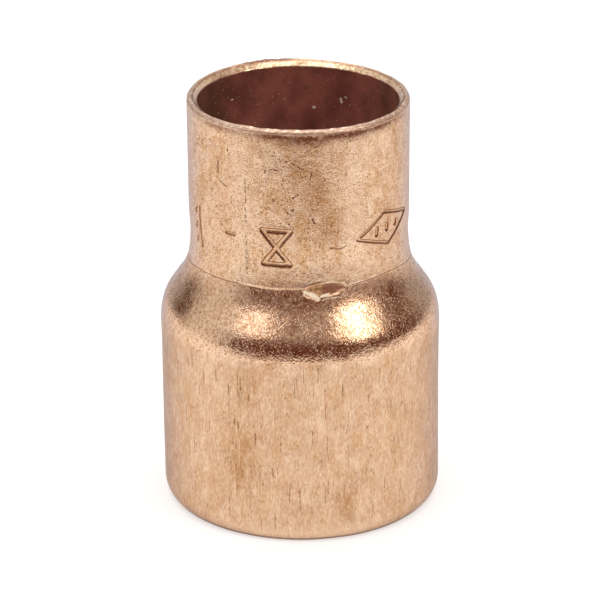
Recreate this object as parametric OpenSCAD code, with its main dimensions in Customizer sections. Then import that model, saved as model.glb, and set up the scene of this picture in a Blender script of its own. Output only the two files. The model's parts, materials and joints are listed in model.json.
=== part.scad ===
// Concentric reducer: one seamless copper fitting with a soldering socket at each end.
// Millimetres. The origin is the centre of the large end's face, and +Z runs along
// the axis towards the small end. The whole fitting is a single wall turned about Z.

/* [Large end] */
// Bore of the large socket, which takes 28 mm tube
large_bore_d = 28.1; // [28.06:0.01:28.15]
// Wall thickness of the large socket
large_wall = 1.25; // [1.1:0.05:1.4]
// Radius that rounds the outside of the large end
large_nose_r = 2.3; // [1.8:0.1:2.5]
// Bevel inside the mouth of the large socket
large_bevel = 0.15; // [0.1:0.05:0.25]

/* [Small end] */
// Bore of the small socket, which takes 22 mm tube
small_bore_d = 22.1; // [22.06:0.01:22.15]
// Wall thickness of the small socket
small_wall = 0.95; // [0.9:0.05:1.1]
// Radius that rounds the outside of the small end
small_nose_r = 0.35; // [0.2:0.05:0.35]
// Radius that rounds the inside of the small end
small_mouth_r = 0.5; // [0.3:0.05:0.5]

/* [Body] */
// Overall length, face to face
length = 46.2; // [46:0.1:48]
// Height at which the large socket ends and the shoulder begins
shoulder_z = 21; // [20.5:0.1:21.2]
// Steepest lean of the shoulder away from the axis, in degrees
shoulder_lean = 35; // [33:1:37]
// Radius of the shoulder's rounded lower edge
shoulder_r = 5.3; // [5:0.1:6]
// Radius of the hollow where the shoulder runs into the neck
neck_root_r = 7; // [6:0.1:7.5]

/* [Tube stop] */
// Bore of the throat, against which the 22 mm tube stops
throat_d = 20.9; // [20.5:0.1:21.2]
// Length of the throat's straight wall
throat_land = 0.6; // [0.4:0.1:0.8]
// Radius of the inside curve that leads up to the throat
throat_lead_r = 4; // [3.5:0.1:4.2]

/* [Colour] */
// Colour of the bare copper
copper = "#D8A27E";

/* [Hidden] */
$fn = 128;

// Radii of the walls
large_in = large_bore_d / 2;
large_out = large_in + large_wall;
small_in = small_bore_d / 2;
small_out = small_in + small_wall;
throat_in = throat_d / 2;

// The flat that is left on the large end's face, and the arc outside it
large_flat = 0.3;
nose_foot = large_in + large_bevel + large_flat;
nose_sweep = acos(1 - (large_out - nose_foot) / large_nose_r);

// The shoulder's outside: an arc, a straight flank and a hollow arc, all tangent
flank_foot = arc_end(large_out, shoulder_r);
flank_top_r = small_out + neck_root_r * (1 - cos(shoulder_lean));
flank_top_z = flank_foot[1] + (flank_foot[0] - flank_top_r) / tan(shoulder_lean);
neck_root_z = flank_top_z + neck_root_r * sin(shoulder_lean);

// The shoulder's inside: the same, running into the throat
lead_foot = arc_end(large_in, shoulder_r - large_wall);
lead_top_r = throat_in + throat_lead_r * (1 - cos(shoulder_lean));
lead_top_z = lead_foot[1] + (lead_foot[0] - lead_top_r) / tan(shoulder_lean);
throat_z = lead_top_z + throat_lead_r * sin(shoulder_lean);

// The tube stop is a 45 degree cone, and the small socket's wall runs from it to the mouth
stop_z = throat_z + throat_land;
socket_foot_z = stop_z + small_in - throat_in;
socket_top_z = length - small_mouth_r;

// Steps along each arc
nose_steps = 8;
shoulder_steps = 12;

// Upper end of the shoulder's lower arc, which leaves a wall of radius wall_r
function arc_end(wall_r, arc_r) =
    [wall_r - arc_r * (1 - cos(shoulder_lean)), shoulder_z + arc_r * sin(shoulder_lean)];

// Points on an arc about [cr, cz], from angle a0 to angle a1
function arc(cr, cz, r, a0, a1, steps) =
    [for (i = [0:steps]) let (a = a0 + (a1 - a0) * i / steps) [cr + r * cos(a), cz + r * sin(a)]];

// Outside of the wall, from the large end's face up to the small end's face
function outside() = concat(
    arc(large_out - large_nose_r, large_nose_r * sin(nose_sweep), large_nose_r,
        -nose_sweep, 0, nose_steps),
    arc(large_out - shoulder_r, shoulder_z, shoulder_r, 0, shoulder_lean, shoulder_steps),
    arc(small_out + neck_root_r, neck_root_z, neck_root_r, 180 + shoulder_lean, 180, shoulder_steps),
    arc(small_out - small_nose_r, length - small_nose_r, small_nose_r, 0, 90, nose_steps)
);

// Inside of the wall, from the small end's face down to the large end's face
function inside() = concat(
    arc(small_in + small_mouth_r, socket_top_z, small_mouth_r, 90, 180, nose_steps),
    [[small_in, socket_foot_z], [throat_in, stop_z]],
    arc(throat_in + throat_lead_r, throat_z, throat_lead_r, 180, 180 + shoulder_lean, shoulder_steps),
    arc(large_in - shoulder_r + large_wall, shoulder_z, shoulder_r - large_wall,
        shoulder_lean, 0, shoulder_steps),
    [[large_in, large_bevel], [large_in + large_bevel, 0]]
);

// The fitting: its wall's outline, turned about the axis
module reducer_body() {
    color(copper)
        rotate_extrude()
            polygon(concat(outside(), inside()));
}

reducer_body();
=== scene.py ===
"""A 28 x 22 mm copper soldering reducer, dressed for a studio picture.

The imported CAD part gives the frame. One closed mesh, turned from the same outline and then
worked like real drawn copper, stands in for the CAD body. The outline and everything on it
is in millimetres; the finished mesh is in metres, like the frame. Angles round the wall are
0 towards the camera and positive to its right.
"""

import functools
import json
import math
from types import SimpleNamespace

import bpy
import numpy as np
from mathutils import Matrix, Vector


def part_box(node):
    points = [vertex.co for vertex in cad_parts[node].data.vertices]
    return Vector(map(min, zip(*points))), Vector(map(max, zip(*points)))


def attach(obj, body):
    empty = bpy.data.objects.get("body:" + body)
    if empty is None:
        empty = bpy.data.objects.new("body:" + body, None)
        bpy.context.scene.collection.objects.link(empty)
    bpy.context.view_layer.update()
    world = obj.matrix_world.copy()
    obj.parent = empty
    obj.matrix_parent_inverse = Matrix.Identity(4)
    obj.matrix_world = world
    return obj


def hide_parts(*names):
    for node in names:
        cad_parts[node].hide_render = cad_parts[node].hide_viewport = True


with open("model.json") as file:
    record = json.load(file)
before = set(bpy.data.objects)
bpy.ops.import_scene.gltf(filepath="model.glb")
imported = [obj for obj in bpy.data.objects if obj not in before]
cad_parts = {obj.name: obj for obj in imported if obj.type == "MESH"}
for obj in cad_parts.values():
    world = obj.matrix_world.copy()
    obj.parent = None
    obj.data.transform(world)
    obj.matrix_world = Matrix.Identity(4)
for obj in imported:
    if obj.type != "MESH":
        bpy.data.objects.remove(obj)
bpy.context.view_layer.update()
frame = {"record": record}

MM = 0.001

# ---------------------------------------------------------------- sizes, in millimetres
low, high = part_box("reducer_body")
mounts = {m["name"]: m["dims"] for m in frame["record"]["mounts"]}
LENGTH = (high.z - low.z) / MM
LARGE_OUT = high.x / MM
LARGE_IN = mounts["large_socket"]["r_mm"]
SMALL_IN = mounts["small_socket"]["r_mm"]
SMALL_WALL = 0.95
SMALL_OUT = SMALL_IN + SMALL_WALL
THROAT_IN = 10.45
LARGE_NOSE_R = 2.3
LARGE_BEVEL = 0.15
LARGE_FLAT = 0.3
SMALL_NOSE_R = 0.35
SMALL_MOUTH_R = 0.5
SHOULDER_Z = mounts["large_socket"]["length_mm"] + LARGE_BEVEL
SHOULDER_R = 5.3
NECK_ROOT_R = 7.0
THROAT_LEAD_R = 4.0
THROAT_LAND = 0.6
LEAN = math.radians(35)

# How far the axis leans to the left over each millimetre of height
TILT = 0.0086
# The bevel inside the small end: depths below its face, and radii beyond the socket's bore
LIP_DEPTHS = (0, 0.12, 0.6, 3.0)
LIP_RADII = (0.5, 0.3, -0.18, 0.0)
# The die's edge, where the neck meets the shoulder, and the neck's narrowest height above it
CREASE_Z = 28.45
WAIST_Z = 31.0
# Where the punched marks lie on the neck
MARKS_LOW, MARKS_HIGH = 30.4, 36.4
# Spacing of the wall's rows. Each pair is a height and the spacing above it, down to the next pair's.
# The rows are close at the rim, the marks, the crease, the tube stop and the foot.
OUTSIDE_ROWS = [(LENGTH - 1, 0.08), (MARKS_HIGH, 0.5), (MARKS_LOW, 0.13), (29.5, 0.25), (26.8, 0.11),
                (SHOULDER_Z - 0.5, 0.3), (2.0, 1.0), (-1.0, 0.2)]
INSIDE_ROWS = [(LENGTH - 1, 0.08), (31.0, 2.0), (SHOULDER_Z, 0.45), (0.4, 2.0), (-1.0, 0.09)]
# The wall's columns, in degrees: the half width of the side that carries the marks, the spacing
# on it, and the spacing behind it
FRONT_HALF, FRONT_COLUMNS, BACK_COLUMNS = 78, 0.48, 1.5
# Radius at which the material unrolls the wall to lay its scratches and stains on it
UNROLL_R = 12.1


# ---------------------------------------------------------------- small helpers
def bell(x, width):
    """A soft bump of height 1 at x = 0."""
    return np.exp(-(x / width) ** 2)


def ramp(x, start, end):
    """0 before start and 1 after end, with a smooth rise between."""
    t = np.clip((x - start) / (end - start), 0, 1)
    return t * t * (3 - 2 * t)


def noise(points, size, seed):
    """Smooth random values, about -1 to 1, in cells of the given size in millimetres."""
    cells = 32
    table = np.random.default_rng(seed).uniform(-1, 1, (cells, cells, cells))
    place = points / size + 100
    corner = np.floor(place).astype(int)
    t = place - corner
    t = t * t * (3 - 2 * t)
    total = np.zeros(points.shape[:-1])
    for step in np.ndindex(2, 2, 2):
        weight = np.prod(np.where(step, t, 1 - t), axis=-1)
        i, j, k = np.moveaxis((corner + step) % cells, -1, 0)
        total += weight * table[i, j, k]
    return total


# ---------------------------------------------------------------- outline
def arc(cr, cz, r, start, end, steps=60):
    """Points on an arc about (cr, cz), from angle start to angle end, in radians."""
    a = np.linspace(start, end, steps)
    return np.stack([cr + r * np.cos(a), cz + r * np.sin(a)], 1)


def outside_outline():
    """The outside wall, from the large end's face up to the small end's face."""
    foot = LARGE_IN + LARGE_BEVEL + LARGE_FLAT
    sweep = math.acos(1 - (LARGE_OUT - foot) / LARGE_NOSE_R)
    lower_r = LARGE_OUT - SHOULDER_R * (1 - math.cos(LEAN))
    lower_z = SHOULDER_Z + SHOULDER_R * math.sin(LEAN)
    upper_r = SMALL_OUT + NECK_ROOT_R * (1 - math.cos(LEAN))
    upper_z = lower_z + (lower_r - upper_r) / math.tan(LEAN)
    root_z = upper_z + NECK_ROOT_R * math.sin(LEAN)
    return np.concatenate([
        arc(LARGE_OUT - LARGE_NOSE_R, LARGE_NOSE_R * math.sin(sweep), LARGE_NOSE_R, -sweep, 0),
        arc(LARGE_OUT - SHOULDER_R, SHOULDER_Z, SHOULDER_R, 0, LEAN),
        arc(SMALL_OUT + NECK_ROOT_R, root_z, NECK_ROOT_R, math.pi + LEAN, math.pi),
        arc(SMALL_OUT - SMALL_NOSE_R, LENGTH - SMALL_NOSE_R, SMALL_NOSE_R, 0, math.pi / 2),
    ])


def inside_outline():
    """The inside wall, from the small end's face down to the large end's face."""
    wall = LARGE_OUT - LARGE_IN
    lead_r = THROAT_IN + THROAT_LEAD_R * (1 - math.cos(LEAN))
    foot_r = LARGE_IN - (SHOULDER_R - wall) * (1 - math.cos(LEAN))
    foot_z = SHOULDER_Z + (SHOULDER_R - wall) * math.sin(LEAN)
    lead_z = foot_z + (foot_r - lead_r) / math.tan(LEAN)
    throat_z = lead_z + THROAT_LEAD_R * math.sin(LEAN)
    stop_z = throat_z + THROAT_LAND
    return np.concatenate([
        arc(SMALL_IN + SMALL_MOUTH_R, LENGTH - SMALL_MOUTH_R, SMALL_MOUTH_R, math.pi / 2, math.pi),
        [[SMALL_IN, stop_z + SMALL_IN - THROAT_IN], [THROAT_IN, stop_z]],
        arc(THROAT_IN + THROAT_LEAD_R, throat_z, THROAT_LEAD_R, math.pi, math.pi + LEAN),
        arc(LARGE_IN - SHOULDER_R + wall, SHOULDER_Z, SHOULDER_R - wall, LEAN, 0),
        [[LARGE_IN, LARGE_BEVEL], [LARGE_IN + LARGE_BEVEL, 0]],
    ])


def march(start, end, step_at):
    """Stops from start almost to end, each step_at(stop) after the one before."""
    stops = [start]
    while stops[-1] + step_at(stops[-1]) * 1.5 < end:
        stops.append(stops[-1] + step_at(stops[-1]))
    return np.array(stops)


def resample(outline, rows):
    """Points along an outline at the spacing that rows gives, with their outward normals."""
    run = np.concatenate([[0], np.cumsum(np.hypot(*np.diff(outline, axis=0).T))])
    keep = np.concatenate([[True], np.diff(run) > 1e-9])
    run, outline = run[keep], outline[keep]

    def place(s):
        return np.interp(s, run, outline[:, 0]), np.interp(s, run, outline[:, 1])

    def spacing(at):
        z = place(at)[1]
        return next(step for height, step in rows if z > height)

    s = march(0, run[-1], spacing)
    reach = 0.03
    ahead, behind = place(s + reach), place(s - reach)
    dr, dz = ahead[0] - behind[0], ahead[1] - behind[1]
    size = np.hypot(dr, dz)
    return np.stack([*place(s), dz / size, -dr / size], 1)


def columns():
    """Angles round the wall, in radians."""
    def spacing(angle):
        return FRONT_COLUMNS if abs(angle) < FRONT_HALF else BACK_COLUMNS

    return np.radians(march(-180, 180, spacing))


# ---------------------------------------------------------------- the worked surface
def crease_line(a):
    """Height of the crease at each angle: the real one wanders."""
    wander = 0.28 * np.sin(a) + 0.05 * np.sin(5 * a + 2.0) + 0.03 * np.sin(11 * a)
    sag = 0.75 * ramp(a, 0.85, 1.5) + 0.3 * ramp(-a, 1.1, 1.4)
    return CREASE_Z + wander + 0.22 * bell(a + 0.66, 0.25) - sag


def stroke(u, z, start, end):
    """Distance from a straight stroke between two places on the unrolled wall."""
    (u0, z0), (u1, z1) = start, end
    along = (u - u0) * (u1 - u0) + (z - z0) * (z1 - z0)
    t = np.clip(along / ((u1 - u0) ** 2 + (z1 - z0) ** 2), 0, 1)
    return np.hypot(u - u0 - t * (u1 - u0), z - z0 - t * (z1 - z0))


def outline_of(corners):
    """The strokes that join corners in turn and come back to the first."""
    return list(zip(corners, corners[1:] + corners[:1]))


def mark_gap(u, z):
    """Distance from the nearest punched stroke, in half widths of that stroke."""
    hourglass = outline_of([(-4.0, 35.0), (-0.9, 35.0), (-3.9, 31.2), (-1.0, 31.2)])
    lozenge = outline_of([(6.5, 33.4), (10.3, 35.7), (14.9, 34.5), (11.1, 31.9)])
    lozenge_dots = [((at, 33.55 + (at - 10.7) * 0.12), (at + 0.1, 34.1)) for at in (9.1, 10.7, 12.3)]
    side_bar = [((-12.7, 31.1), (-12.9, 35.3))]
    side_dots = [((-13.9, at), (-13.7, at + 0.4)) for at in (31.3, 32.9, 34.6)]
    dash = [((-8.3, 33.9), (-7.3, 33.9))]
    groups = [(hourglass, 0.27), (lozenge, 0.17), (lozenge_dots, 0.24),
              (side_bar, 0.2), (side_dots, 0.2), (dash, 0.2)]
    gaps = [stroke(u, z, *ends) / half for strokes, half in groups for ends in strokes]
    return np.min(gaps, axis=0)


def gouge(u, z, grain):
    """Lift of the torn spot at the crease, with its ragged pit and the flake at its lower left."""
    across = np.hypot((u - 2.75) / 2.45, (z - 28.3 - 0.04 * (u - 2.75)) / 0.72)
    pit = 1 - ramp(across + 0.12 * grain, 0.62, 1.0)
    flake = 1 - ramp(stroke(u, z, (0.6, 28.1), (1.9, 27.5)) + 0.05 * grain, 0.14, 0.34)
    lip = bell(across - 1.1, 0.13) * (1 + 0.9 * grain)
    return -0.24 * pit * (1 + 0.5 * grain) + 0.18 * flake + 0.022 * lip, pit, flake


def spots(u, z, places):
    """0 to 1 in soft oval spots. Each place is (u, z, half width, half height, strength)."""
    bumps = [s * bell(np.hypot((u - pu) / w, (z - pz) / h), 1) for pu, pz, w, h, s in places]
    return np.max(bumps, axis=0)


# The largest marks outside: brown stains, of which the last two, faint and tall on the neck's sides,
# are painted shade; olive stains; and the soot below the small end's lip, with a painted dark
# reflection in it
BROWN_SPOTS = [(2.0, 38.6, 1.7, 2.6, 1.0), (3.2, 35.6, 1.3, 2.2, 0.9), (0.3, 41.5, 1.8, 1.8, 0.55),
               (-9.5, 40.5, 0.8, 2.0, 0.5), (-6.2, 18.0, 1.6, 2.6, 0.6), (-6.6, 9.5, 2.0, 4.2, 0.8),
               (4.9, 4.4, 1.3, 2.2, 0.7), (-1.5, 15.0, 1.5, 2.0, 0.2), (11.5, 12.0, 1.0, 5.0, 0.3),
               (-8.8, 36.0, 2.2, 7.0, 0.3), (9.8, 33.0, 2.4, 4.5, 0.25)]
OLIVE_SPOTS = [(-5.85, 31.6, 0.28, 1.4, 0.9), (-6.7, 16.9, 0.35, 0.6, 0.9), (-8.9, 26.1, 0.5, 0.5, 0.8),
               (5.7, 2.5, 0.3, 1.3, 0.5), (-9.5, 26.6, 2.0, 1.4, 0.5)]
SMUDGE_SPOTS = [(0.9, 45.3, 2.8, 0.62, 1.0), (1.2, 45.4, 1.0, 0.4, 1.0), (-2.3, 45.5, 2.6, 0.4, 0.9),
                (5.2, 45.45, 4.6, 0.42, 1.0), (9.6, 45.5, 3.4, 0.3, 0.8), (-9.0, 45.5, 4.5, 0.24, 0.5)]


def wall_grid():
    """The turned wall as grids: angle, radius, height, normal, and 1 inside or 0 outside."""
    outer = resample(outside_outline(), OUTSIDE_ROWS)
    inner = resample(inside_outline(), INSIDE_ROWS)
    rows = np.concatenate([outer, inner])
    side = np.concatenate([np.zeros(len(outer)), np.ones(len(inner))])
    a = columns()
    grids = [np.repeat(column[:, None], len(a), 1) for column in (*rows.T, side)]
    return [np.tile(a, (len(rows), 1)), *grids]


def dents(turned, z, shoulder):
    """Lift of the shallow dents and waves, the neck's waist and the swelling under the shoulder."""
    lift = 0.045 * noise(turned, 9, 1) + 0.02 * noise(turned, 3.4, 2)
    lift += (0.004 + 0.009 * shoulder) * noise(turned, 1.1, 3)
    lift += 0.004 * shoulder * noise(turned, 0.5, 5)
    lift -= 0.12 * bell(z - WAIST_Z, 1.6)
    swelling = ramp(z, SHOULDER_Z - 3.5, SHOULDER_Z - 0.3)
    return lift + 0.04 * swelling * (1 - ramp(z, SHOULDER_Z - 0.3, SHOULDER_Z + 0.9))


def crease_drop(turned, below):
    """How far the shoulder steps back at the crease, with a broken groove along it."""
    step = 0.06 * ramp(below, -0.05, 0.12) * np.exp(-np.clip(below, 0, None) / 1.1)
    broken = ramp(noise(turned, 2.5, 9), -0.6, 0.4)
    return step + 0.035 * broken * bell(below - 0.06, 0.09)


def rim_wave(a, r, burr, torn_burr, outside, grain):
    """How far the small end's face rises and falls: waves, a worn outer edge and a torn burr."""
    wave = 0.05 * np.sin(2 * a + 1.0) + 0.03 * np.sin(3 * a + 2.2) + 0.6 * burr
    wave -= 0.11 * np.clip((r - SMALL_IN - SMALL_MOUTH_R) / (SMALL_WALL - SMALL_MOUTH_R), 0, 1)
    outer_edge = outside * ramp(r, SMALL_OUT - 0.42, SMALL_OUT - 0.2)
    return wave + 0.13 * torn_burr * outer_edge * (1 + 0.8 * grain)


def lip_masks(r, z, rim, inside, torn_burr, grain):
    """The masks of the small end: its bore, lip, bevel, the line round the bevel, and its darkened
    edges.
    """
    starts = np.where(inside > 0, 0.85, 0.5)
    whole = np.where(inside > 0, 0.75, 0.2)
    bevel = ramp(z, LENGTH - 0.9, LENGTH - 0.8) * (1 - ramp(z, LENGTH - 0.18, LENGTH - 0.1))
    back_edge = np.clip(1.6 * torn_burr, 0, 1) * ramp(r, SMALL_IN + 0.3, SMALL_IN + 0.42)
    outer_edge = 0.5 * ramp(r, SMALL_OUT - 0.42, SMALL_OUT - 0.3)
    return {
        "inside": inside * (1 - ramp(z + 0.08 * grain, LENGTH - 0.66, LENGTH - 0.56)),
        "rim": ramp(z, LENGTH - starts, LENGTH - whole),
        "mouth": inside * bevel,
        "crest": inside * bell(LENGTH - z - 0.12, 0.06),
        "burnt": rim * np.maximum(back_edge, outer_edge),
    }


def worked_wall():
    """Points of the finished wall in millimetres, and the masks that the material reads."""
    A, R, Z, NR, NZ, inside = wall_grid()
    outside = 1 - inside
    U = A * R
    turned = np.stack([R * np.sin(A), -R * np.cos(A), Z], -1)
    grain = noise(turned, 0.33, 4)
    neck = ramp(Z, CREASE_Z - 0.1, CREASE_Z + 0.1)
    shoulder = ramp(Z, SHOULDER_Z - 0.9, SHOULDER_Z + 0.2) * (1 - neck) * outside
    below = crease_line(A) - Z
    gap = mark_gap(U, Z) + 0.12 * grain
    groove = (1 - ramp(gap, 0.45, 1.1)) * outside
    torn, pit, flake = gouge(U, Z, grain)

    lift = dents(turned, Z, shoulder) - crease_drop(turned, below)
    lift += -0.12 * groove + 0.025 * bell(gap - 1.45, 0.35) + torn
    lift *= outside * (1 - ramp(Z, LENGTH - 0.9, LENGTH - 0.2))

    rim = ramp(Z, LENGTH - 0.6, LENGTH - 0.1)
    burr = 0.05 * noise(turned, 1.2, 6) + 0.02 * noise(turned, 0.45, 7)
    torn_burr = bell(A + 2.84, 0.24)
    lift += rim * burr * (0.6 + 0.5 * inside)
    lip_r = SMALL_IN + np.interp(LENGTH - Z, LIP_DEPTHS, LIP_RADII)
    r = np.where((inside > 0) & (Z > LENGTH - LIP_DEPTHS[-1]), lip_r, R) + lift * NR
    z = Z + lift * NZ + rim_wave(A, R, burr, torn_burr, outside, grain) * rim
    x = r * np.sin(A) - TILT * (Z - LENGTH / 2)
    y = -r * np.cos(A)
    masks = {
        **lip_masks(r, Z, rim, inside, torn_burr, grain),
        "shoulder": shoulder * (1 - pit),
        "gap": np.clip(gap, 0, 4) * outside + 4 * inside,
        "below": np.clip(below, -2, 2) * outside + 2 * inside,
        "pit": pit * (1 - flake) * outside,
        "brown": spots(U, Z, BROWN_SPOTS) * outside,
        "olive": spots(U, Z, OLIVE_SPOTS) * outside,
        "smudge": spots(U, Z, SMUDGE_SPOTS) * outside,
    }
    return np.stack([x, y, z], -1), masks


def build_wall():
    """The closed mesh of the whole fitting: a grid whose rows and columns both join up."""
    points, masks = worked_wall()
    n_rows, n_cols = points.shape[:2]
    index = np.arange(n_rows * n_cols).reshape(n_rows, n_cols)
    right = np.roll(index, -1, 1)
    faces = np.stack([index, right, np.roll(right, -1, 0), np.roll(index, -1, 0)], -1)
    mesh = bpy.data.meshes.new("reducer_wall")
    mesh.from_pydata((points.reshape(-1, 3) * MM).tolist(), [], faces.reshape(-1, 4).tolist())
    mesh.shade_smooth()
    for name, values in masks.items():
        layer = mesh.attributes.new(name, "FLOAT", "POINT")
        layer.data.foreach_set("value", values.reshape(-1).astype(np.float32))
    mesh.update()
    return mesh


# ---------------------------------------------------------------- node helpers
def linear(red, green, blue):
    """A display colour, 0 to 255, as the linear colour that shaders use."""
    def one(c):
        c = c / 255
        return c / 12.92 if c <= 0.04045 else ((c + 0.055) / 1.055) ** 2.4
    return (one(red), one(green), one(blue), 1.0)


class Nodes:
    """Builds arithmetic and patterns in a node tree. Values are sockets or plain numbers."""

    def __init__(self, tree):
        self.tree = tree

    def add(self, kind, **settings):
        """A new node with the given settings."""
        made = self.tree.nodes.new(kind)
        for name, value in settings.items():
            setattr(made, name, value)
        return made

    def feed(self, socket, value):
        """Links a socket to an input, or sets the input to a plain value."""
        if isinstance(value, bpy.types.NodeSocket):
            self.tree.links.new(value, socket)
        else:
            socket.default_value = value

    def do(self, operation, *values):
        """One step of arithmetic on numbers."""
        made = self.add("ShaderNodeMath", operation=operation)
        for socket, value in zip(made.inputs, values):
            self.feed(socket, value)
        return made.outputs[0]

    def times(self, *values):
        """The product of several numbers."""
        total = values[0]
        for value in values[1:]:
            total = self.do("MULTIPLY", total, value)
        return total

    def plus(self, *values):
        """The sum of several numbers."""
        total = values[0]
        for value in values[1:]:
            total = self.do("ADD", total, value)
        return total

    def most(self, *values):
        """The largest of several numbers."""
        return functools.reduce(lambda first, second: self.do("MAXIMUM", first, second), values)

    def away_from(self, value, middle=0.0):
        """How far a value is from the middle, either way."""
        return self.do("ABSOLUTE", self.plus(value, -middle) if middle else value)

    def ramp(self, value, start, end, low=0.0, high=1.0):
        """low below start, high above end, and a smooth step between."""
        made = self.add("ShaderNodeMapRange", interpolation_type="SMOOTHSTEP")
        for socket, v in zip(made.inputs, (value, start, end, low, high)):
            self.feed(socket, v)
        return made.outputs[0]

    def window(self, value, start, end, soft):
        """1 between start and end, falling to 0 over soft on each side."""
        rise = self.ramp(value, start - soft, start + soft)
        return self.times(rise, self.ramp(value, end - soft, end + soft, 1.0, 0.0))

    def mix(self, amount, first, second):
        """first where amount is 0 and second where it is 1, for numbers."""
        made = self.add("ShaderNodeMix", data_type="FLOAT")
        for socket, v in zip((made.inputs[0], made.inputs[2], made.inputs[3]), (amount, first, second)):
            self.feed(socket, v)
        return made.outputs[0]

    def tint(self, amount, first, second):
        """first where amount is 0 and second where it is 1, for colours."""
        made = self.add("ShaderNodeMix", data_type="RGBA")
        for socket, v in zip((made.inputs[0], made.inputs[6], made.inputs[7]), (amount, first, second)):
            self.feed(socket, v)
        return made.outputs[2]

    def mask(self, name):
        """A mask that the mesh carries."""
        return self.add("ShaderNodeAttribute", attribute_name=name).outputs["Fac"]

    def millimetres(self):
        """The place on the object, in millimetres."""
        place = self.add("ShaderNodeTexCoord").outputs["Object"]
        return self.vector("SCALE", place, scale=1 / MM)

    def vector(self, operation, *values, scale=None):
        """Vector arithmetic, with a number as the result of a product or a distance."""
        made = self.add("ShaderNodeVectorMath", operation=operation)
        for socket, value in zip(made.inputs, values):
            self.feed(socket, value)
        if scale is not None:
            self.feed(made.inputs["Scale"], scale)
        return made.outputs["Value" if operation in ("DOT_PRODUCT", "DISTANCE") else "Vector"]

    def stretch(self, place, up):
        """The place with its height scaled, so that a pattern on it is drawn out or pressed flat."""
        return self.vector("MULTIPLY", place, (1, 1, up))

    def flat_place(self, across, up):
        """A vector of two numbers, for patterns laid on a flat sheet."""
        made = self.add("ShaderNodeCombineXYZ")
        self.feed(made.inputs[0], across)
        self.feed(made.inputs[1], up)
        return made.outputs[0]

    def unrolled(self, place):
        """The distance round the neck from the front, and the height, in millimetres, with a shake."""
        x, y, z = self.split(place)
        x = self.plus(x, self.times(z, TILT), -TILT * LENGTH / 2)
        angle = self.do("ARCTAN2", x, self.times(y, -1.0))
        flat = self.flat_place(self.times(angle, UNROLL_R), z)
        shake = self.add("ShaderNodeTexNoise")
        self.feed(shake.inputs["Vector"], place)
        self.feed(shake.inputs["Scale"], 2.5)
        shift = self.vector("SUBTRACT", shake.outputs["Color"], (0.5, 0.5, 0.5))
        return self.vector("ADD", flat, self.vector("MULTIPLY", shift, (0.16, 0.16, 0)))

    def stroke(self, flat, start, end, half):
        """1 on a straight stroke between two places on the unrolled wall, and 0 off it."""
        run = math.dist(start, end)
        heading = ((end[0] - start[0]) / run, (end[1] - start[1]) / run, 0)
        away = self.vector("SUBTRACT", flat, (*start, 0))
        along = self.vector("DOT_PRODUCT", away, heading)
        along = self.do("MINIMUM", self.do("MAXIMUM", along, 0.0), run)
        gap = self.vector("DISTANCE", away, self.vector("SCALE", heading, scale=along))
        return self.ramp(gap, half * 0.5, half * 1.3, 1.0, 0.0)

    def strokes(self, flat, marks):
        """The strongest of several strokes, each given as both its ends and its half width."""
        return self.most(*[self.stroke(flat, mark[:2], mark[2:4], mark[4]) for mark in marks])

    def noise(self, place, size, detail=2.0, rough=0.5):
        """Soft random values about 0.5, with features of the given size in millimetres."""
        made = self.add("ShaderNodeTexNoise")
        self.feed(made.inputs["Vector"], place)
        self.feed(made.inputs["Scale"], 1 / size)
        self.feed(made.inputs["Detail"], detail)
        self.feed(made.inputs["Roughness"], rough)
        return made.outputs["Fac"]

    def split(self, vector):
        """The three numbers of a vector or a colour."""
        made = self.add("ShaderNodeSeparateXYZ")
        self.feed(made.inputs[0], vector)
        return made.outputs

    def scratches(self, place, size, long, wide, lean=math.pi, keep=0.5, seed=0.0):
        """Short straight scratches, one at most in each cell, leaning up to lean from upright."""
        shifted = self.vector("ADD", place, (seed, seed, seed))
        cells = self.add("ShaderNodeTexVoronoi")
        self.feed(cells.inputs["Vector"], shifted)
        self.feed(cells.inputs["Scale"], 1 / size)
        dx, dy, dz = self.split(self.vector("SUBTRACT", shifted, cells.outputs["Position"]))
        red, green, blue = self.split(cells.outputs["Color"])
        x, y, _ = self.split(place)
        radius = self.do("SQRT", self.plus(self.times(x, x), self.times(y, y)))
        round_wall = self.do("SUBTRACT", self.times(dy, x), self.times(dx, y))
        round_wall = self.do("DIVIDE", round_wall, radius)
        turn = self.times(self.do("SUBTRACT", red, 0.5), 2 * lean)
        sine, cosine = self.do("SINE", turn), self.do("COSINE", turn)
        along = self.plus(self.times(dz, cosine), self.times(round_wall, sine))
        across = self.do("SUBTRACT", self.times(round_wall, cosine), self.times(dz, sine))
        line = self.ramp(self.do("ABSOLUTE", across), wide * 0.4, wide, 1.0, 0.0)
        along = self.do("DIVIDE", self.do("ABSOLUTE", along), self.mix(blue, long * 0.4, long * 1.6))
        line = self.times(line, self.ramp(along, 0.6, 1.0, 1.0, 0.0))
        return self.times(line, self.ramp(green, keep * 0.3, keep, 1.0, 0.0))


# ---------------------------------------------------------------- materials
# Bare metal outside, its stains and its specks, and the colours of its painted reflections and painted
# shade
SALMON = linear(227, 187, 154)
PALE = linear(242, 210, 178)
CREAM = linear(248, 221, 194)
EDGE_PINK = linear(242, 224, 216)
LILAC = linear(208, 174, 154)
TAN = linear(210, 166, 126)
OCHRE = linear(204, 156, 104)
BODY_TAN = linear(190, 158, 132)
STAIN = linear(170, 118, 64)
BROWN = linear(164, 110, 58)
OLIVE = linear(140, 108, 56)
SPECK = linear(134, 78, 44)
UMBER = linear(112, 64, 24)
SOOT = linear(110, 55, 29)
# The burnished shoulder and its painted glints, and metal that is freshly cut or torn, painted as
# bright as its highlights
RED_COPPER = linear(234, 192, 160)
GOLD = linear(238, 196, 152)
FRESH_CUT = linear(255, 240, 216)
RAW_RED = linear(140, 76, 58)
# The small end's lip, with its painted shade and painted highlight
RIM_PINK = linear(250, 222, 202)
RIM_GOLD = linear(248, 220, 184)
RIM_DUN = linear(170, 132, 96)
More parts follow.
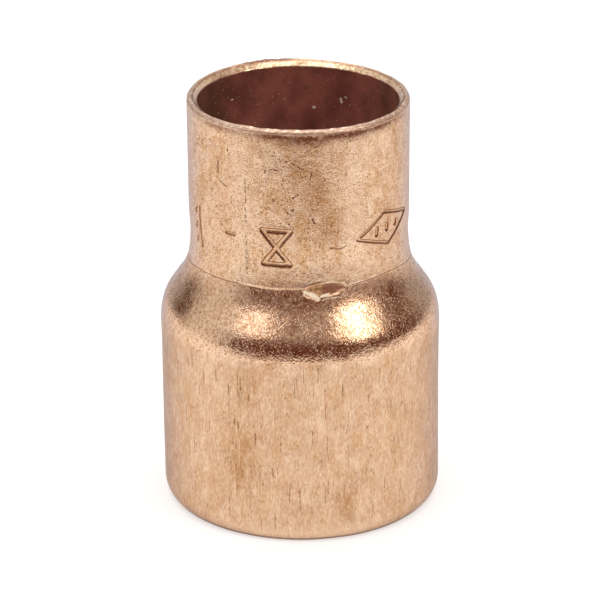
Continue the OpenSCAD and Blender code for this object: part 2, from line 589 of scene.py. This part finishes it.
# The bore
MAROON = linear(162, 98, 84)
MAROON_DARK = linear(122, 72, 62)
MAROON_GREEN = linear(84, 62, 44)
DUST = linear(235, 220, 205)

# Strokes on the unrolled wall, each as both its ends (distance round, height) and its half width.
# First the scratches and pits, then the torn spot's flake and edge, painted near white as highlights.
NICKS = [
    (-1.3, 42.8, -1.3, 42.9, 0.12), (-0.7, 42.7, 0.5, 42.0, 0.08), (-3.0, 41.9, -2.1, 41.8, 0.06),
    (-9.2, 39.5, -8.4, 39.1, 0.07), (-0.6, 38.8, 0.0, 39.2, 0.06), (1.2, 40.9, 1.4, 41.7, 0.06),
    (1.8, 42.0, 2.4, 41.5, 0.05), (1.7, 44.4, 2.2, 44.6, 0.06), (0.9, 43.5, 1.5, 43.7, 0.05),
    (-8.1, 43.2, -8.1, 43.3, 0.1), (-3.6, 41.6, -3.6, 41.7, 0.09), (-0.8, 37.4, -0.6, 37.5, 0.1),
    (1.4, 36.5, 1.7, 35.9, 0.1), (-1.1, 35.8, -1.0, 35.8, 0.09), (-9.5, 41.7, -9.5, 40.4, 0.09),
    (3.4, 33.0, 4.4, 32.7, 0.08), (4.4, 32.7, 5.2, 33.0, 0.06), (-16.0, 27.9, -16.0, 28.0, 0.15),
    (-9.6, 16.7, -9.6, 15.8, 0.06), (-7.7, 19.3, -7.6, 18.1, 0.05), (-6.4, 17.9, -6.4, 16.7, 0.06),
    (-5.2, 18.8, -5.2, 17.7, 0.06), (-4.5, 17.2, -4.5, 16.5, 0.07), (-5.5, 13.8, -5.5, 13.0, 0.08),
    (-3.9, 12.7, -3.9, 12.1, 0.07), (-0.5, 19.4, -0.5, 17.3, 0.04), (3.6, 18.6, 3.6, 17.2, 0.05),
    (1.5, 20.7, 1.5, 19.0, 0.04), (6.0, 13.2, 5.8, 12.9, 0.08), (-0.1, 6.5, -0.1, 4.0, 0.05),
    (2.1, 6.8, 2.1, 4.8, 0.05), (-2.5, 8.8, -2.4, 7.9, 0.07), (-3.4, 6.8, -3.3, 6.8, 0.09),
]
FLAKE = [
    (0.5, 28.2, 1.2, 27.9, 0.15), (1.2, 27.9, 1.9, 27.5, 0.22), (2.2, 27.6, 3.2, 27.8, 0.08),
]
TORN_EDGE = [
    (2.3, 27.2, 2.8, 27.4, 0.05), (2.8, 27.4, 4.4, 27.4, 0.07), (4.4, 27.4, 5.1, 28.0, 0.05),
    (0.8, 29.0, 2.2, 29.4, 0.06), (2.2, 29.4, 3.8, 29.2, 0.05), (5.5, 28.5, 6.8, 28.6, 0.05),
]
# Bright crumbs inside the bore, each by distance right of the axis and height
CRUMBS = [
    (1.5, 40.8, 1.6, 40.8, 0.16), (4.5, 42.1, 4.6, 41.7, 0.14), (5.0, 42.4, 5.1, 42.3, 0.09),
    (-7.4, 42.6, -7.5, 42.6, 0.09), (-9.9, 41.2, -9.8, 41.2, 0.08),
]


def scratch_masks(n, w):
    """The scratches: cut lines all over, nicks where the photo has them, and the shoulder's grain, with
    painted glints.
    """
    hairs = n.scratches(w.place, 1.9, 0.34, 0.045, keep=0.4)
    drawn = n.stretch(w.place, 0.3)
    draw_lines = n.scratches(drawn, 1.0, 0.28, 0.055, lean=0.03, keep=0.5, seed=20)
    draw_lines = n.times(draw_lines, n.ramp(n.noise(w.place, 0.35, 2), 0.38, 0.55, 0.3, 1.0))
    w.cuts = n.mix(w.body, hairs, draw_lines)

    dotted = n.times(n.ramp(n.away_from(w.u, -5.9), 0.04, 0.16, 0.7, 0.0),
                     n.ramp(n.noise(w.place, 0.24, 1), 0.5, 0.64), n.window(w.z, 28.7, 40.5, 0.5))
    faint = n.ramp(n.noise(w.place, 0.3, 2), 0.35, 0.55, 0.5, 1.0)
    w.nicks = n.most(n.times(n.strokes(w.flat, NICKS), faint), dotted)

    # Where the shoulder's small scratches and their painted glints lie: fewer on the left.
    rubbed = n.times(w.shoulder, n.ramp(w.u, -8.5, -6.0, 0.5, 1.0))
    crowd = n.ramp(n.noise(w.place, 1.6, 3, 0.6), 0.4, 0.62, 0.1, 1.0)
    crowd = n.times(n.most(crowd, n.ramp(w.u, 7, 10, 0.0, 0.9)), n.ramp(w.z, 22, 24, 0.5, 1.0))
    glint = n.ramp(n.noise(w.place, 0.35, 2), 0.4, 0.6, 0.25, 1.0)
    flecks = n.scratches(w.place, 0.36, 0.16, 0.045, lean=1.1, keep=0.8, seed=5)
    w.flecks = n.times(flecks, rubbed, crowd, glint)
    w.sparks = n.times(n.scratches(w.place, 0.3, 0.1, 0.045, keep=0.45, seed=13), rubbed)
    notches = n.scratches(w.place, 0.42, 0.18, 0.045, lean=1.1, keep=0.9, seed=9)
    w.notches = n.times(notches, rubbed, n.ramp(n.noise(w.place, 1.3, 3, 0.6), 0.4, 0.62, 0.1, 1.0))


def wall_masks(n):
    """The places and regions of the wall that its colour, metal, roughness and bump share."""
    w = SimpleNamespace(place=n.millimetres())
    w.upright = n.stretch(w.place, 0.14)
    w.flat = n.unrolled(w.place)
    w.u, w.z, _ = n.split(w.flat)
    w.body = n.ramp(w.z, 19.5, 21.5, 1.0, 0.0)
    w.above = n.do("SUBTRACT", 1.0, w.body)
    w.shoulder = n.times(n.mask("shoulder"), n.ramp(w.z, 20.95, 21.35))
    for name in ("inside", "rim", "mouth", "pit", "burnt"):
        setattr(w, name, n.mask(name))
    scratch_masks(n, w)
    rough_edge = n.ramp(n.noise(w.place, 0.4, 3, 0.65), 0.36, 0.52, 0.5, 1.0)
    # Soot below the small end's lip, with a painted dark reflection of the room in it.
    w.sooty = n.do("MINIMUM", n.times(n.mask("smudge"), rough_edge, 1.2), 0.95)
    broken = n.ramp(n.noise(w.place, 0.5, 2), 0.38, 0.58, 0.2, 0.9)
    # The torn flake and edges, where painted highlights lie.
    w.bare = n.most(n.strokes(w.flat, FLAKE), n.times(n.strokes(w.flat, TORN_EDGE), broken))
    return w


def outside_colour(n, w):
    """Bare copper outside: mottled on the neck, streaked on the body, and stained by the masks,
    which also paint shade on the neck's sides.
    """
    def either(size, *settings):
        return n.mix(w.body, n.noise(w.place, size, *settings), n.noise(w.upright, size, *settings))

    colour = n.tint(n.ramp(n.noise(w.place, 2.8, 3), 0.35, 0.65), SALMON, PALE)
    tan = n.times(n.ramp(either(1.1, 4, 0.65), 0.46, 0.7), n.mix(w.body, 0.75, 0.5))
    colour = n.tint(tan, colour, TAN)
    colour = n.tint(n.times(n.ramp(n.noise(w.place, 2.1, 2), 0.5, 0.75), 0.6), colour, LILAC)
    colour = n.tint(n.times(w.body, 0.35), colour, TAN)
    colour = n.tint(n.times(w.body, 0.38), colour, BODY_TAN)
    patch = n.noise(n.stretch(w.place, 0.45), 1.4, 4, 0.6)
    colour = n.tint(n.ramp(patch, 0.52, 0.62, 0.0, n.mix(w.body, 0.75, 0.3)), colour, OCHRE)
    colour = n.tint(n.ramp(patch, 0.48, 0.38, 0.0, n.mix(w.body, 0.75, 0.35)), colour, PALE)
    drawn = n.noise(n.stretch(w.place, 0.3), 0.45, 3, 0.65)
    mottle = n.mix(w.body, n.noise(w.place, 0.5, 3, 0.6), drawn)
    colour = n.tint(n.ramp(mottle, 0.48, 0.66, 0.0, n.mix(w.body, 0.8, 0.5)), colour, TAN)
    colour = n.tint(n.ramp(mottle, 0.5, 0.34, 0.0, n.mix(w.body, 0.65, 0.35)), colour, PALE)
    ragged = n.ramp(either(0.6, 4, 0.65), 0.32, 0.57, n.mix(w.body, 0.5, 0.1), 1.0)
    # Brown stains, and painted shade on the neck's sides.
    stain = n.times(n.mask("brown"), ragged, 0.95)
    colour = n.tint(stain, colour, n.tint(w.body, BROWN, STAIN))
    return n.tint(n.times(n.mask("olive"), ragged), colour, OLIVE)


def neck_sheen(n, w, colour):
    """Painted reflections: paler bands beside the middle of the neck, and pinker edges where it turns
    away.
    """
    # Painted reflection: pale bands on each side of the neck's middle.
    bands = n.times(n.window(n.away_from(w.u), 5.0, 7.6, 0.9), w.above, 0.35)
    colour = n.tint(bands, colour, CREAM)
    # Painted edge reflection: pinker where the neck turns away.
    turned_away = n.times(n.ramp(n.away_from(w.u), 12.0, 16.5), n.ramp(w.z, 27.6, 28.6))
    return n.tint(n.times(turned_away, 0.5), colour, EDGE_PINK)


def grain_colour(n, w, colour):
    """Adds the pale and dark grain, the specks, the short dashes and the cut lines."""
    drawn = n.stretch(w.place, 0.25)
    fine = n.mix(w.body, n.noise(w.place, 0.12, 1), n.noise(drawn, 0.12, 1))
    colour = n.tint(n.ramp(fine, 0.46, 0.7, 0.0, n.mix(w.body, 0.55, 0.25)), colour, BROWN)
    colour = n.tint(n.ramp(fine, 0.52, 0.3, 0.0, n.mix(w.body, 0.6, 0.3)), colour, CREAM)
    crowd = n.ramp(n.noise(w.place, 2.2, 3, 0.6), 0.38, 0.66, 0.1, 1.0)
    round_specks = n.ramp(n.noise(w.place, 0.2, 1.0), 0.59, 0.67)
    dashes = n.ramp(n.noise(n.stretch(w.place, 0.4), 0.18, 1.0), 0.61, 0.7)
    specks = n.times(n.mix(w.body, round_specks, dashes), crowd)
    colour = n.tint(n.times(specks, n.mix(w.body, 0.85, 0.6)), colour, SPECK)
    return n.tint(n.times(w.cuts, n.mix(w.body, 0.7, 0.95)), colour, SPECK)


def shoulder_colour(n, w, colour):
    """The burnished shoulder: redder, smeared, and full of small dark scratches and small bright ones
    painted as glints.
    """
    smears = n.noise(w.place, 0.35, 3, 0.65)
    colour = n.tint(n.times(w.shoulder, 0.6), colour, RED_COPPER)
    colour = n.tint(n.times(w.shoulder, n.ramp(smears, 0.5, 0.62, 0.0, 0.5)), colour, BROWN)
    colour = n.tint(n.times(w.shoulder, n.ramp(smears, 0.47, 0.36, 0.0, 0.5)), colour, CREAM)
    colour = n.tint(n.times(w.notches, 0.7), colour, SPECK)
    # Painted glints: gold on the small bright scratches and near white on the finest.
    colour = n.tint(n.times(w.flecks, 0.9), colour, GOLD)
    return n.tint(n.times(w.sparks, 0.8), colour, FRESH_CUT)


def marks_colour(n, w, colour):
    """The foot's painted floor reflection, the punched marks, painted shade along the crease and the
    bottom edge, the torn spot with its painted highlights, the nicks, and the soot with its painted
    dark reflection.
    """
    # Painted reflection of the bright floor: the front of the foot paler.
    lit_foot = n.times(n.ramp(w.z, 2.6, 0.9), n.ramp(n.away_from(w.u), 4.0, 11.0, 1.0, 0.0))
    colour = n.tint(n.times(lit_foot, 0.4), colour, PALE)
    gap = n.mask("gap")
    colour = n.tint(n.ramp(gap, 1.1, 0.7, 0.0, 0.45), colour, TAN)
    colour = n.tint(n.times(n.window(gap, 0.65, 1.15, 0.15), 0.95), colour, SPECK)
    # Painted shade: a dark line along the crease, strongest at the sides.
    sides = n.ramp(n.away_from(w.u, -0.6), 5.4, 6.8, 0.15, 1.0)
    hairline = n.ramp(n.away_from(n.mask("below"), 0.05), 0.03, 0.085, 1.0, 0.0)
    colour = n.tint(n.times(hairline, sides, 0.85), colour, SOOT)
    raw = n.tint(n.ramp(n.noise(w.place, 0.4, 2), 0.42, 0.58), RAW_RED, SPECK)
    raw_left = n.tint(n.ramp(n.noise(w.place, 0.3, 2), 0.4, 0.6), OLIVE, TAN)
    raw = n.tint(n.ramp(w.u, 2.7, 2.3), raw, raw_left)
    colour = n.tint(n.times(w.pit, 0.85), colour, raw)
    nicked = n.tint(w.body, SOOT, UMBER)
    colour = n.tint(n.times(w.nicks, n.mix(w.body, 0.95, 0.6)), colour, nicked)
    # Painted shade: a thin dark line along the bottom edge, the reflected contact shadow.
    colour = n.tint(n.ramp(w.z, 0.5, 0.25, 0.0, 0.55), colour, SPECK)
    # Soot below the lip, with its painted dark reflection.
    colour = n.tint(w.sooty, colour, SOOT)
    # Painted highlights: the torn flake and edges near white.
    return n.tint(w.bare, colour, FRESH_CUT)


def lip_colour(n, w):
    """The small end's lip: pink and worn in front, dun with painted shade at the back and a painted
    gold highlight on the bevel there, darkened at its outer edge and torn burr.
    """
    worn = n.noise(n.stretch(w.place, 3), 0.45, 3, 0.65)
    lip = n.tint(n.ramp(worn, 0.42, 0.64, 0.0, 0.6), RIM_PINK, TAN)
    # Painted shade: the back of the lip duller than the front.
    back = n.ramp(n.split(w.place)[1], 1, 8)
    lip = n.tint(n.times(back, n.ramp(worn, 0.3, 0.6, 1.0, 0.6), 0.8), lip, RIM_DUN)
    streaks = n.ramp(n.noise(w.place, 0.4, 3, 0.65), 0.46, 0.62, 0.0, 0.6)
    # Painted highlight: the bevel at the back in gold, streaked brown.
    lip = n.tint(n.times(w.mouth, back), lip, n.tint(streaks, RIM_GOLD, BROWN))
    lip = n.tint(n.times(n.mask("crest"), n.ramp(worn, 0.34, 0.5), 0.85), lip, SPECK)
    # Darkens the lip's outer edge and the torn burr at the back.
    return n.tint(n.times(w.burnt, n.ramp(worn, 0.3, 0.5), 0.9), lip, SOOT)


def inside_colour(n, place):
    """The bore: dull maroon oxide with dark and greenish patches, painted shade on its left and right
    sides, a little dust and a few crumbs.
    """
    x, y, z = n.split(place)
    clouds = n.noise(n.stretch(place, 0.8), 2.8, 3)
    colour = n.tint(n.ramp(clouds, 0.35, 0.75), MAROON, MAROON_DARK)
    green = n.times(n.ramp(n.noise(place, 1.6, 4, 0.6), 0.56, 0.75), 0.55)
    colour = n.tint(green, colour, MAROON_GREEN)
    # The bore's left and right sides in greenish dark: oxide patches, and painted shade.
    colour = n.tint(n.ramp(x, -6.5, -9.5, 0.0, 0.6), colour, MAROON_GREEN)
    colour = n.tint(n.ramp(x, 6.5, 9.5, 0.0, 0.4), colour, MAROON_GREEN)
    colour = n.tint(n.ramp(n.noise(place, 0.2, 1), 0.745, 0.775), colour, DUST)
    crumbs = n.times(n.strokes(n.flat_place(x, z), CRUMBS), n.ramp(y, 0, 2))
    return n.tint(crumbs, colour, DUST)


def copper_colour(n, w):
    """The whole wall's colour, from the metal itself up to what lies on it, with its painted
    reflections, highlights and shade.
    """
    colour = neck_sheen(n, w, outside_colour(n, w))
    colour = shoulder_colour(n, w, grain_colour(n, w, colour))
    colour = marks_colour(n, w, colour)
    colour = n.tint(n.times(w.rim, 0.9), colour, lip_colour(n, w))
    return n.tint(w.inside, colour, inside_colour(n, w.place))


def metal_share(n, w):
    """1 on clean metal, less where soot, tears or scratches scatter the light and on their painted
    reflection, highlights and glints, and 0 in the bore.
    """
    dull = n.most(
        n.times(w.sooty, 0.8), n.times(n.most(w.nicks, w.pit), n.mix(w.body, 0.8, 0.4)), w.bare,
        n.times(n.most(w.flecks, w.sparks), 0.5), n.times(w.mouth, 0.3), n.times(w.burnt, 0.9))
    metal = n.do("SUBTRACT", n.ramp(w.inside, 0.2, 0.8, 1.0, 0.0), n.times(dull, 0.9))
    return n.most(metal, 0.0)


def wall_roughness(n, w):
    """Satin outside, burnished on the shoulder, smoother on the bevel and rough where torn."""
    burnished = n.plus(n.ramp(w.z, 22.4, 23.6, 0.11, 0.18), n.ramp(w.z, 26.0, 27.2, 0.0, 0.1))
    roughness = n.mix(w.shoulder, 0.36, burnished)
    roughness = n.mix(w.rim, roughness, n.mix(w.mouth, 0.34, 0.22))
    roughness = n.mix(n.most(w.sooty, w.pit), roughness, 0.5)
    roughness = n.mix(n.most(w.bare, w.flecks), roughness, 0.5)
    roughness = n.mix(w.inside, roughness, 0.45)
    patchy = n.ramp(n.noise(w.place, 1.3, 3), 0.3, 0.7, -0.05, 0.05)
    return n.plus(roughness, patchy)


def wall_bump(n, w):
    """Fine grain on the neck, drawing lines on the body, and the depth of each kind of scratch."""
    grain = n.noise(w.place, 0.2, 2, 0.6)
    lines = n.noise(w.upright, 0.16, 2)
    height = n.times(n.mix(w.body, grain, lines), n.mix(w.shoulder, 0.025, 0.03))
    height = n.plus(height, n.times(w.flecks, 0.015), n.times(w.notches, -0.02),
                    n.times(w.nicks, n.mix(w.body, -0.06, -0.015)))
    height = n.plus(height, n.times(w.cuts, -0.01), n.times(n.noise(w.place, 0.6, 2), 0.03))
    bump = n.add("ShaderNodeBump")
    n.feed(bump.inputs["Strength"], 1.0)
    n.feed(bump.inputs["Distance"], MM)
    n.feed(bump.inputs["Height"], height)
    return bump.outputs[0]


def copper_material():
    """Drawn copper: satin outside, burnished on the shoulder and oxidised in the bore."""
    material = bpy.data.materials.new("drawn_copper")
    material.use_nodes = True
    shader = material.node_tree.nodes["Principled BSDF"]
    n = Nodes(material.node_tree)
    w = wall_masks(n)
    n.feed(shader.inputs["Base Color"], copper_colour(n, w))
    n.feed(shader.inputs["Metallic"], metal_share(n, w))
    n.feed(shader.inputs["Roughness"], wall_roughness(n, w))
    n.feed(shader.inputs["Normal"], wall_bump(n, w))
    shader.inputs["Specular Tint"].default_value = (0.52, 0.54, 0.62, 1)
    shader.inputs["Specular IOR Level"].default_value = 0.35
    return material


def floor_material():
    """A white table, lit a little from below."""
    material = bpy.data.materials.new("white_table")
    material.use_nodes = True
    shader = material.node_tree.nodes["Principled BSDF"]
    shader.inputs["Base Color"].default_value = (0.55, 0.55, 0.55, 1)
    shader.inputs["Roughness"].default_value = 0.9
    shader.inputs["Specular IOR Level"].default_value = 0.2
    shader.inputs["Emission Color"].default_value = (1, 1, 1, 1)
    shader.inputs["Emission Strength"].default_value = 0.55
    return material


# ---------------------------------------------------------------- the object
wall = bpy.data.objects.new("reducer_wall", build_wall())
bpy.context.scene.collection.objects.link(wall)
wall.data.materials.append(copper_material())
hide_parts("reducer_body")
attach(wall, "root")


# ---------------------------------------------------------------- floor, light and camera
def add_floor(front=0.15, right=0.3, reach=0.8):
    """A table that ends close in front and on the right, where the shoulder mirrors the dark room."""
    mesh = bpy.data.meshes.new("studio_floor")
    corners = [(-reach, -front, 0), (right, -front, 0), (right, reach, 0), (-reach, reach, 0)]
    mesh.from_pydata(corners, [], [(0, 1, 2, 3)])
    floor = bpy.data.objects.new("studio_floor", mesh)
    bpy.context.scene.collection.objects.link(floor)
    mesh.materials.append(floor_material())


def add_softbox(name, azimuth, elevation, distance, width, height, power, colour=(1, 1, 1)):
    """An area light aimed at the fitting. Azimuth 0 is the camera's side and 90 is +X, in degrees."""
    data = bpy.data.lights.new(name, "AREA")
    data.shape = "RECTANGLE"
    data.size, data.size_y = width, height
    data.energy = power
    data.color = colour
    lamp = bpy.data.objects.new(name, data)
    bpy.context.scene.collection.objects.link(lamp)
    a, e = math.radians(azimuth), math.radians(elevation)
    centre = Vector((0, 0, LENGTH / 2 * MM))
    away = Vector((math.sin(a) * math.cos(e), -math.cos(a) * math.cos(e), math.sin(e)))
    lamp.location = centre + away * distance
    lamp.rotation_euler = away.to_track_quat("Z", "Y").to_euler()


def add_world():
    """The studio round the fitting: pale walls, and the dark warm room behind the camera.

    Azimuth and elevation are in degrees, measured as they are for the softboxes.
    """
    world = bpy.data.worlds.new("studio")
    bpy.context.scene.world = world
    world.use_nodes = True
    tree = world.node_tree
    n = Nodes(tree)
    x, y, z = n.split(n.add("ShaderNodeTexCoord").outputs["Generated"])
    azimuth = n.times(n.do("ARCTAN2", x, n.times(y, -1.0)), 180 / math.pi)
    elevation = n.times(n.do("ARCSINE", z), 180 / math.pi)

    dusk = (0.5, 0.51, 0.52, 1)
    wall_light = (0.79, 0.75, 0.7, 1)
    side_light = (0.85, 0.835, 0.8, 1)
    ceiling = (0.39, 0.31, 0.285, 1)
    room = (0.155, 0.06, 0.04, 1)
    black = (0.11, 0.045, 0.035, 1)
    left = n.window(azimuth, -112, -62, 6)
    front = n.times(n.ramp(azimuth, -68, -56), n.ramp(azimuth, 103, 135, 1.0, 0.0))
    gap = n.times(n.window(azimuth, -132, -112, 5), n.window(elevation, -8, 26, 8))
    light = n.tint(n.ramp(elevation, 6, 20), dusk, wall_light)
    light = n.tint(left, light, side_light)
    light = n.tint(front, light, ceiling)
    light = n.tint(n.times(front, n.ramp(elevation, 22, 34, 1.0, 0.0)), light, room)
    light = n.tint(gap, light, black)

    studio = tree.nodes["Background"]
    n.feed(studio.inputs["Color"], light)
    white = n.add("ShaderNodeBackground")
    white.inputs["Color"].default_value = (1, 1, 1, 1)
    pick = n.add("ShaderNodeMixShader")
    n.feed(pick.inputs[0], n.add("ShaderNodeLightPath").outputs["Is Camera Ray"])
    n.feed(pick.inputs[1], studio.outputs[0])
    n.feed(pick.inputs[2], white.outputs[0])
    n.feed(tree.nodes["World Output"].inputs["Surface"], pick.outputs[0])


def add_camera():
    """The photograph's view: from 22.65 degrees above the horizon, through a long lens."""
    distance, elevation, below_middle = 0.3757, math.radians(22.65), 0.91 * MM
    data = bpy.data.cameras.new("camera")
    data.sensor_width = 36
    data.lens = 205.0
    data.clip_start, data.clip_end = 0.01, 10
    camera = bpy.data.objects.new("camera", data)
    bpy.context.scene.collection.objects.link(camera)
    middle = Vector((0, 0, LENGTH / 2 * MM))
    camera.location = middle + Vector((0, -math.cos(elevation), math.sin(elevation))) * distance
    aim = middle - Vector((0, 0, below_middle))
    camera.rotation_euler = (camera.location - aim).to_track_quat("Z", "Y").to_euler()
    bpy.context.scene.camera = camera


add_floor()
add_world()
add_softbox("softbox_right", azimuth=59, elevation=36, distance=0.6, width=0.24, height=0.28, power=0.8,
            colour=(1, 0.99, 0.9))
add_softbox("softbox_left", azimuth=-47, elevation=43, distance=0.6, width=0.22, height=0.2, power=0.26)
add_softbox("softbox_top", azimuth=0, elevation=88, distance=0.7, width=0.7, height=0.7, power=3.3)
add_camera()
bpy.context.scene.view_settings.view_transform = "Standard"
